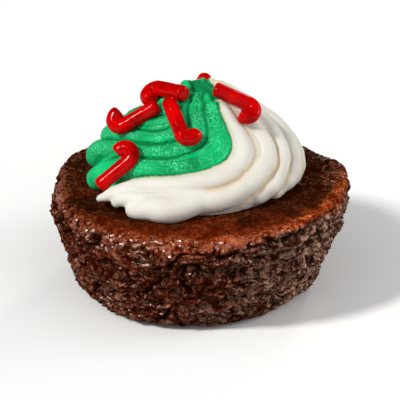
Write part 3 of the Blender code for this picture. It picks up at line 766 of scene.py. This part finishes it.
# ================================================================== materials
class Graph:
    def __init__(self, name):
        self.material = bpy.data.materials.new(name)
        self.material.use_nodes = True
        self.tree = self.material.node_tree
        self.shader = self.tree.nodes["Principled BSDF"]
        self.coord = self.node("ShaderNodeTexCoord").outputs["Object"]

    def node(self, kind, **values):
        n = self.tree.nodes.new(kind)
        for k, v in values.items():
            setattr(n, k, v)
        return n

    def link(self, a, b):
        self.tree.links.new(a, b)

    def noise(self, scale, detail=3.0, rough=0.55, distortion=0.0, stretch=None, seed=0.0):
        n = self.node("ShaderNodeTexNoise")
        n.inputs["Scale"].default_value = scale
        n.inputs["Detail"].default_value = detail
        n.inputs["Roughness"].default_value = rough
        n.inputs["Distortion"].default_value = distortion
        m = self.node("ShaderNodeMapping")
        m.inputs["Scale"].default_value = stretch or (1, 1, 1)
        m.inputs["Location"].default_value = (seed, seed * 0.7, seed * 1.3)
        self.link(self.coord, m.inputs["Vector"])
        self.link(m.outputs[0], n.inputs["Vector"])
        return n.outputs["Fac"]

    def voronoi(self, scale, feature="F1", stretch=None):
        n = self.node("ShaderNodeTexVoronoi", feature=feature)
        n.inputs["Scale"].default_value = scale
        m = self.node("ShaderNodeMapping")
        m.inputs["Scale"].default_value = stretch or (1, 1, 1)
        self.link(self.coord, m.inputs["Vector"])
        self.link(m.outputs[0], n.inputs["Vector"])
        return n.outputs["Distance"]

    def cell(self, scale):
        """Distance to the nearest point, and a random number for each cell."""
        n = self.node("ShaderNodeTexVoronoi", feature="F1")
        n.inputs["Scale"].default_value = scale
        self.link(self.coord, n.inputs["Vector"])
        part = self.node("ShaderNodeSeparateColor")
        self.link(n.outputs["Color"], part.inputs[0])
        return n.outputs["Distance"], part.outputs[0]

    def facets(self, scale, tilt, under):
        """A normal for each small cell, tilted at random from the surface's own, and a random number."""
        n = self.node("ShaderNodeTexVoronoi", feature="F1")
        n.inputs["Scale"].default_value = scale
        self.link(self.coord, n.inputs["Vector"])
        centre = self.node("ShaderNodeVectorMath", operation="SUBTRACT")
        self.link(n.outputs["Color"], centre.inputs[0])
        centre.inputs[1].default_value = (0.5, 0.5, 0.5)
        scaled = self.node("ShaderNodeVectorMath", operation="SCALE")
        self.link(centre.outputs[0], scaled.inputs[0])
        scaled.inputs["Scale"].default_value = tilt
        add = self.node("ShaderNodeVectorMath", operation="ADD")
        self.link(scaled.outputs[0], add.inputs[0])
        self.link(under, add.inputs[1])
        unit = self.node("ShaderNodeVectorMath", operation="NORMALIZE")
        self.link(add.outputs[0], unit.inputs[0])
        other = self.node("ShaderNodeTexWhiteNoise", noise_dimensions="3D")
        self.link(n.outputs["Position"], other.inputs["Vector"])
        split = self.node("ShaderNodeSeparateXYZ")
        self.link(unit.outputs[0], split.inputs[0])
        return unit.outputs[0], other.outputs["Value"], split.outputs["Z"]

    def attr(self, name):
        return self.node("ShaderNodeAttribute", attribute_name=name).outputs["Fac"]

    def ramp(self, value, stops, interpolation="LINEAR"):
        n = self.node("ShaderNodeValToRGB")
        n.color_ramp.interpolation = interpolation
        e = n.color_ramp.elements
        while len(e) < len(stops):
            e.new(0.5)
        for x, (at, colour) in zip(e, stops):
            x.position = at
            x.color = (*colour, 1.0) if len(colour) == 3 else colour
        self.link(value, n.inputs[0])
        return n.outputs["Color"]

    def math(self, op, a, b=None, clamp=False):
        n = self.node("ShaderNodeMath", operation=op, use_clamp=clamp)
        for i, v in enumerate((a, b)):
            if v is None:
                continue
            if isinstance(v, (int, float)):
                n.inputs[i].default_value = v
            else:
                self.link(v, n.inputs[i])
        return n.outputs[0]

    def range(self, value, a, b, c=0.0, d=1.0):
        n = self.node("ShaderNodeMapRange")
        n.clamp = True
        for i, v in enumerate((a, b, c, d)):
            n.inputs[i + 1].default_value = v
        self.link(value, n.inputs[0])
        return n.outputs[0]

    def mix(self, fac, a, b, blend="MIX"):
        n = self.node("ShaderNodeMix", data_type="RGBA", blend_type=blend)
        for i, v in ((0, fac), (6, a), (7, b)):
            if isinstance(v, (int, float)):
                n.inputs[i].default_value = v
            elif isinstance(v, tuple):
                n.inputs[i].default_value = (*v, 1.0)
            else:
                self.link(v, n.inputs[i])
        return n.outputs[2]

    def bump(self, height, distance, strength=1.0, under=None):
        n = self.node("ShaderNodeBump")
        n.inputs["Strength"].default_value = strength
        n.inputs["Distance"].default_value = distance
        self.link(height, n.inputs["Height"])
        if under is not None:
            self.link(under, n.inputs["Normal"])
        return n.outputs[0]

    def set(self, **values):
        for k, v in values.items():
            s = self.shader.inputs[k.replace("_", " ")]
            if isinstance(v, (int, float, tuple)):
                s.default_value = v
            else:
                self.link(v, s)


def brownie_material():
    g = Graph("brownie_crumb")
    crevice_shade, height, top, rim, painted_sheen, redness_and_painted_light, gloss, calm = (g.attr(n) for n in ("crevice_shade", "height", "topface", "rim", "painted_sheen", "redness_and_painted_light", "gloss", "calm"))
    blotch = g.noise(95, 4, 0.6)
    patch = g.noise(260, 3, 0.55, seed=6.0)
    mottle = g.noise(540, 4, 0.65, seed=3.0)
    grain = g.noise(2600, 3, 0.65, seed=1.0)
    pick = g.cell(1750)[1]
    tone = g.math("ADD", g.math("MULTIPLY", pick, 0.22), g.math("MULTIPLY", mottle, 0.46))
    tone = g.math("ADD", tone, g.math("MULTIPLY", grain, 0.36))
    tone = g.math("ADD", g.math("MULTIPLY", tone, 1.25), -0.13)
    still = g.math("ADD", g.math("MULTIPLY", tone, 0.45), 0.262)
    tone = g.math("ADD", tone, g.math("MULTIPLY", g.math("SUBTRACT", still, tone), g.math("MULTIPLY", calm, 0.85)))
    crumb = g.ramp(tone, [(0.38, (0.030, 0.0018, 0.0002)), (0.50, (0.072, 0.0115, 0.0038)), (0.61, (0.142, 0.0370, 0.0170)), (0.74, (0.340, 0.1400, 0.0880))])
    deep = g.ramp(tone, [(0.38, (0.012, 0.0014, 0.0003)), (0.50, (0.030, 0.0088, 0.0040)), (0.61, (0.060, 0.0230, 0.0130)), (0.74, (0.150, 0.0780, 0.0520))])
    # the crumb takes the darker ramp in random patches and, as painted shade, in its low spots and on the wall turned
    # away from the key lamp
    patchy_and_hollow_shade = g.math("ADD", g.range(patch, 0.42, 0.62, 0.0, 0.8), g.range(height, 0.30, 0.60, 0.4, -0.3))
    crumb = g.mix(g.math("ADD", patchy_and_hollow_shade, g.range(redness_and_painted_light, 0.0, 1.0, 0.38, -0.12), clamp=True), crumb, deep)
    red = g.ramp(tone, [(0.38, (0.080, 0.0050, 0.0002)), (0.50, (0.125, 0.0135, 0.0022)), (0.62, (0.190, 0.0320, 0.0085)), (0.76, (0.360, 0.1050, 0.0440))])
    dark = g.ramp(tone, [(0.38, (0.015, 0.0014, 0.0001)), (0.50, (0.031, 0.0068, 0.0018)), (0.62, (0.062, 0.0200, 0.0090)), (0.76, (0.140, 0.0640, 0.0400))])
    ruddy = g.math("ADD", g.range(blotch, 0.40, 0.60, -0.20, 0.20), g.range(patch, 0.38, 0.62, -0.28, 0.28))
    # the crust runs from dark to red with random blotches; its darker parts near the frosting and towards +X +Y are
    # painted shade
    crust = g.mix(g.math("ADD", redness_and_painted_light, ruddy, clamp=True), dark, red)
    colour = g.mix(top, crumb, crust)
    # painted light: bright orange along the rim, on top of the crust's own red
    edge = g.ramp(tone, [(0.38, (0.120, 0.0070, 0.0004)), (0.52, (0.265, 0.0340, 0.0050)), (0.68, (0.600, 0.1350, 0.0300))])
    colour = g.mix(g.math("MULTIPLY", rim, g.range(patch, 0.36, 0.56, 0.35, 1.0)), colour, edge)
    # painted sheen: pale grey-brown on the +X wall and low down on the wall
    pale = g.ramp(tone, [(0.38, (0.030, 0.0095, 0.0050)), (0.50, (0.120, 0.0510, 0.0310)), (0.67, (0.510, 0.3150, 0.2250))])
    colour = g.mix(g.math("MULTIPLY", painted_sheen, g.range(blotch, 0.38, 0.60, 0.10, 0.90)), colour, pale)
    # painted shade in the crevices, darkened almost to black
    colour = g.mix(g.math("MULTIPLY", crevice_shade, 0.94), colour, (0.0050, 0.0006, 0.0001))
    rough = g.math("ADD", g.range(mottle, 0.3, 0.7, 0.55, 0.80), g.math("MULTIPLY", crevice_shade, 0.2), clamp=True)
    coarse = g.bump(mottle, 0.00036, 1.0)
    bump = g.bump(grain, 0.00010, 1.0, coarse)
    wet, chance, level = g.facets(2800, 0.50, coarse)
    lucky = g.math("ADD", chance, g.math("MULTIPLY", gloss, 0.52))
    lucky = g.math("ADD", lucky, g.range(patch, 0.42, 0.60, -0.16, 0.14))
    shine = g.math("MULTIPLY", g.range(lucky, 0.95, 0.99), g.range(crevice_shade, 0.05, 0.45, 1.0, 0.0))
    shine = g.math("MULTIPLY", shine, g.range(level, 0.10, 0.45))
    shine = g.math("MULTIPLY", shine, g.range(calm, 0.0, 1.0, 1.0, 0.25))
    # painted highlight: the glinting cells are coloured bright amber under their coat, so the glints look warm
    colour = g.mix(g.math("MULTIPLY", shine, 0.75), colour, (0.340, 0.0720, 0.0200))
    g.set(Base_Color=colour, Roughness=rough, Normal=bump)
    g.set(Specular_IOR_Level=0.0, Coat_Weight=shine, Coat_Roughness=0.31, Coat_IOR=2.3)
    g.link(wet, g.shader.inputs["Coat Normal"])
    return g.material


def frosting_material():
    g = Graph("frosting_buttercream")
    green, green_bounce, crest, streak = (g.attr(n) for n in ("green", "green_bounce", "crest", "streak"))
    soft = g.noise(160, 3, 0.5)
    fine = g.noise(900, 4, 0.6, seed=2.0)
    pores = g.voronoi(1500)
    speck = g.noise(2900, 3, 0.75, seed=5.0)
    coarse = g.noise(260, 2, 0.5, seed=9.0)
    white = g.ramp(soft, [(0.30, (0.68, 0.655, 0.585)), (0.65, (0.735, 0.72, 0.66))])
    # painted shade: tan in the grooves between the ridges
    white = g.mix(g.range(crest, 0.0, 1.0, 0.70, 0.0), white, (0.66, 0.52, 0.33))
    # painted reflection: white near the green is tinted green
    white = g.mix(g.math("MULTIPLY", green_bounce, 0.50), white, (0.52, 0.62, 0.44))
    hue = g.ramp(streak, [(0.25, (0.000, 0.260, 0.076)), (0.55, (0.000, 0.440, 0.134)), (0.85, (0.000, 0.590, 0.195))])
    # painted shade: dark green in the grooves between the ridges
    hue = g.mix(g.range(crest, 0.0, 0.40, 0.70, 0.0), hue, (0.000, 0.110, 0.028))
    mint = g.math("MULTIPLY", g.range(speck, 0.49, 0.62), g.range(coarse, 0.38, 0.58, 0.08, 1.0))
    # the icing's mint speckles, gathered on the crests and thinned in the grooves as painted highlight
    mint = g.math("MULTIPLY", mint, g.range(crest, 0.30, 0.95, 0.05, 0.95))
    hue = g.mix(mint, hue, (0.12, 0.74, 0.36))
    colour = g.mix(green, white, hue)
    height = g.math("ADD", g.math("MULTIPLY", fine, 0.7), g.math("MULTIPLY", pores, 0.3))
    bump = g.bump(height, 0.00006, 0.45)
    bump = g.bump(g.math("MULTIPLY", speck, green), 0.00016, 0.7, bump)
    rough = g.math("ADD", g.range(fine, 0.3, 0.7, 0.42, 0.58), g.math("MULTIPLY", green, 0.08))
    g.set(Base_Color=colour, Roughness=rough, Normal=bump)
    g.set(Specular_IOR_Level=0.09, Subsurface_Weight=0.22, Subsurface_Radius=(1.0, 0.65, 0.40), Subsurface_Scale=0.0011)
    return g.material


def candy_material():
    g = Graph("candy_red")
    soft = g.noise(330, 3, 0.5)
    fine = g.noise(1300, 3, 0.6, seed=4.0)
    colour = g.ramp(soft, [(0.30, (0.300, 0.000, 0.0002)), (0.55, (0.540, 0.000, 0.0004)), (0.75, (0.740, 0.000, 0.0008))])
    colour = g.mix(g.range(fine, 0.58, 0.76, 0.0, 0.40), colour, (0.88, 0.003, 0.003))
    bump = g.bump(soft, 0.00022, 0.45)
    bump = g.bump(fine, 0.00005, 0.4, bump)
    g.set(Base_Color=colour, Roughness=g.range(fine, 0.35, 0.65, 0.34, 0.46), Normal=bump)
    g.set(Specular_IOR_Level=0.0, Coat_Weight=0.22, Coat_Roughness=0.15)
    g.link(bump, g.shader.inputs["Coat Normal"])
    return g.material


def floor_material():
    g = Graph("floor_pale")
    tone = g.ramp(g.noise(6, 3), [(0.3, (0.90, 0.90, 0.895)), (0.7, (0.93, 0.93, 0.925))])
    g.set(Base_Color=tone, Roughness=0.9)
    g.set(Specular_IOR_Level=0.1)
    return g.material


# ================================================================== build
brownie = build_brownie()
brownie.data.materials.append(brownie_material())
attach(brownie, "root")
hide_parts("brownie")

bits = build_crumbs(brownie)
for name in ("crevice_shade", "height", "topface", "rim", "painted_sheen", "redness_and_painted_light", "gloss", "calm"):
    attribute(bits.data, name, np.full(len(bits.data.vertices), 0.6 if name == "height" else 0.0))
bits.data.materials.append(brownie.data.materials[0])
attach(bits, "root")

frosting = build_frosting()
frosting.data.materials.append(frosting_material())
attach(frosting, "root")
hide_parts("frosting")

candy = candy_material()
for i, (name, spec) in enumerate(CANES.items()):
    cane = build_cane(name, spec, 40 + i)
    cane.data.materials.append(candy)
    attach(cane, "root")
    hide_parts(name)

# ================================================================== stage, light, camera
bpy.ops.mesh.primitive_plane_add(size=4.0, location=(0, 0, 0))
floor = bpy.context.object
floor.name = "floor"
floor.data.materials.append(floor_material())

world = bpy.data.worlds.new("studio")
bpy.context.scene.world = world
world.use_nodes = True
world.node_tree.nodes["Background"].inputs["Color"].default_value = (1.0, 1.0, 1.0, 1.0)
world.node_tree.nodes["Background"].inputs["Strength"].default_value = 0.15
world.cycles_visibility.glossy = False


def area(name, place, aim, width, height, energy, colour=(1, 1, 1)):
    light = bpy.data.lights.new(name, "AREA")
    light.shape = "RECTANGLE"
    light.size, light.size_y = width, height
    light.energy = energy
    light.color = colour
    ob = bpy.data.objects.new(name, light)
    ob.location = place
    ob.rotation_euler = (Vector(aim) - Vector(place)).to_track_quat("-Z", "Y").to_euler()
    bpy.context.scene.collection.objects.link(ob)
    return ob


def sun(name, azimuth, elevation, strength, angle, colour=(1, 1, 1)):
    light = bpy.data.lights.new(name, "SUN")
    light.energy = strength
    light.angle = math.radians(angle)
    light.color = colour
    ob = bpy.data.objects.new(name, light)
    a, e = math.radians(azimuth), math.radians(elevation)
    ob.location = Vector((math.cos(a) * math.cos(e), math.sin(a) * math.cos(e), math.sin(e)))
    ob.rotation_euler = ob.location.to_track_quat("Z", "Y").to_euler()
    bpy.context.scene.collection.objects.link(ob)
    return ob


sun("key", 209, 43, 2.50, 9, (1.0, 0.985, 0.96))
soft = [sun("sky", -90, 64, 0.70, 105)]
soft.append(sun("fill", -30, 40, 0.42, 60, (1.0, 0.99, 0.975)))
for light in soft:
    light.visible_glossy = False      # wide and even, so they leave no highlight of their own
sun("back", 66, 27, 0.36, 7, (1.0, 0.98, 0.95))
area("rim", (0.44, 0.06, 0.15), (0, 0, 0.015), 0.20, 0.20, 0.7)
area("front", (0.05, -0.60, 0.30), (0, 0, 0.02), 0.40, 0.25, 0.3)

camera = bpy.data.cameras.new("camera")
camera.sensor_width = 36.0
camera.lens = 244.6
camera.clip_start = 0.02
camera.clip_end = 20.0
view = bpy.data.objects.new("camera", camera)
elevation = math.radians(25.7)
distance = 0.430
view.location = (0.0, -distance * math.cos(elevation), 0.017 + distance * math.sin(elevation))
view.rotation_euler = (Vector((0.000285, 0.0, 0.01349)) - view.location).to_track_quat("-Z", "Y").to_euler()
bpy.context.scene.collection.objects.link(view)
bpy.context.scene.camera = view
bpy.context.scene.view_settings.view_transform = "Standard"
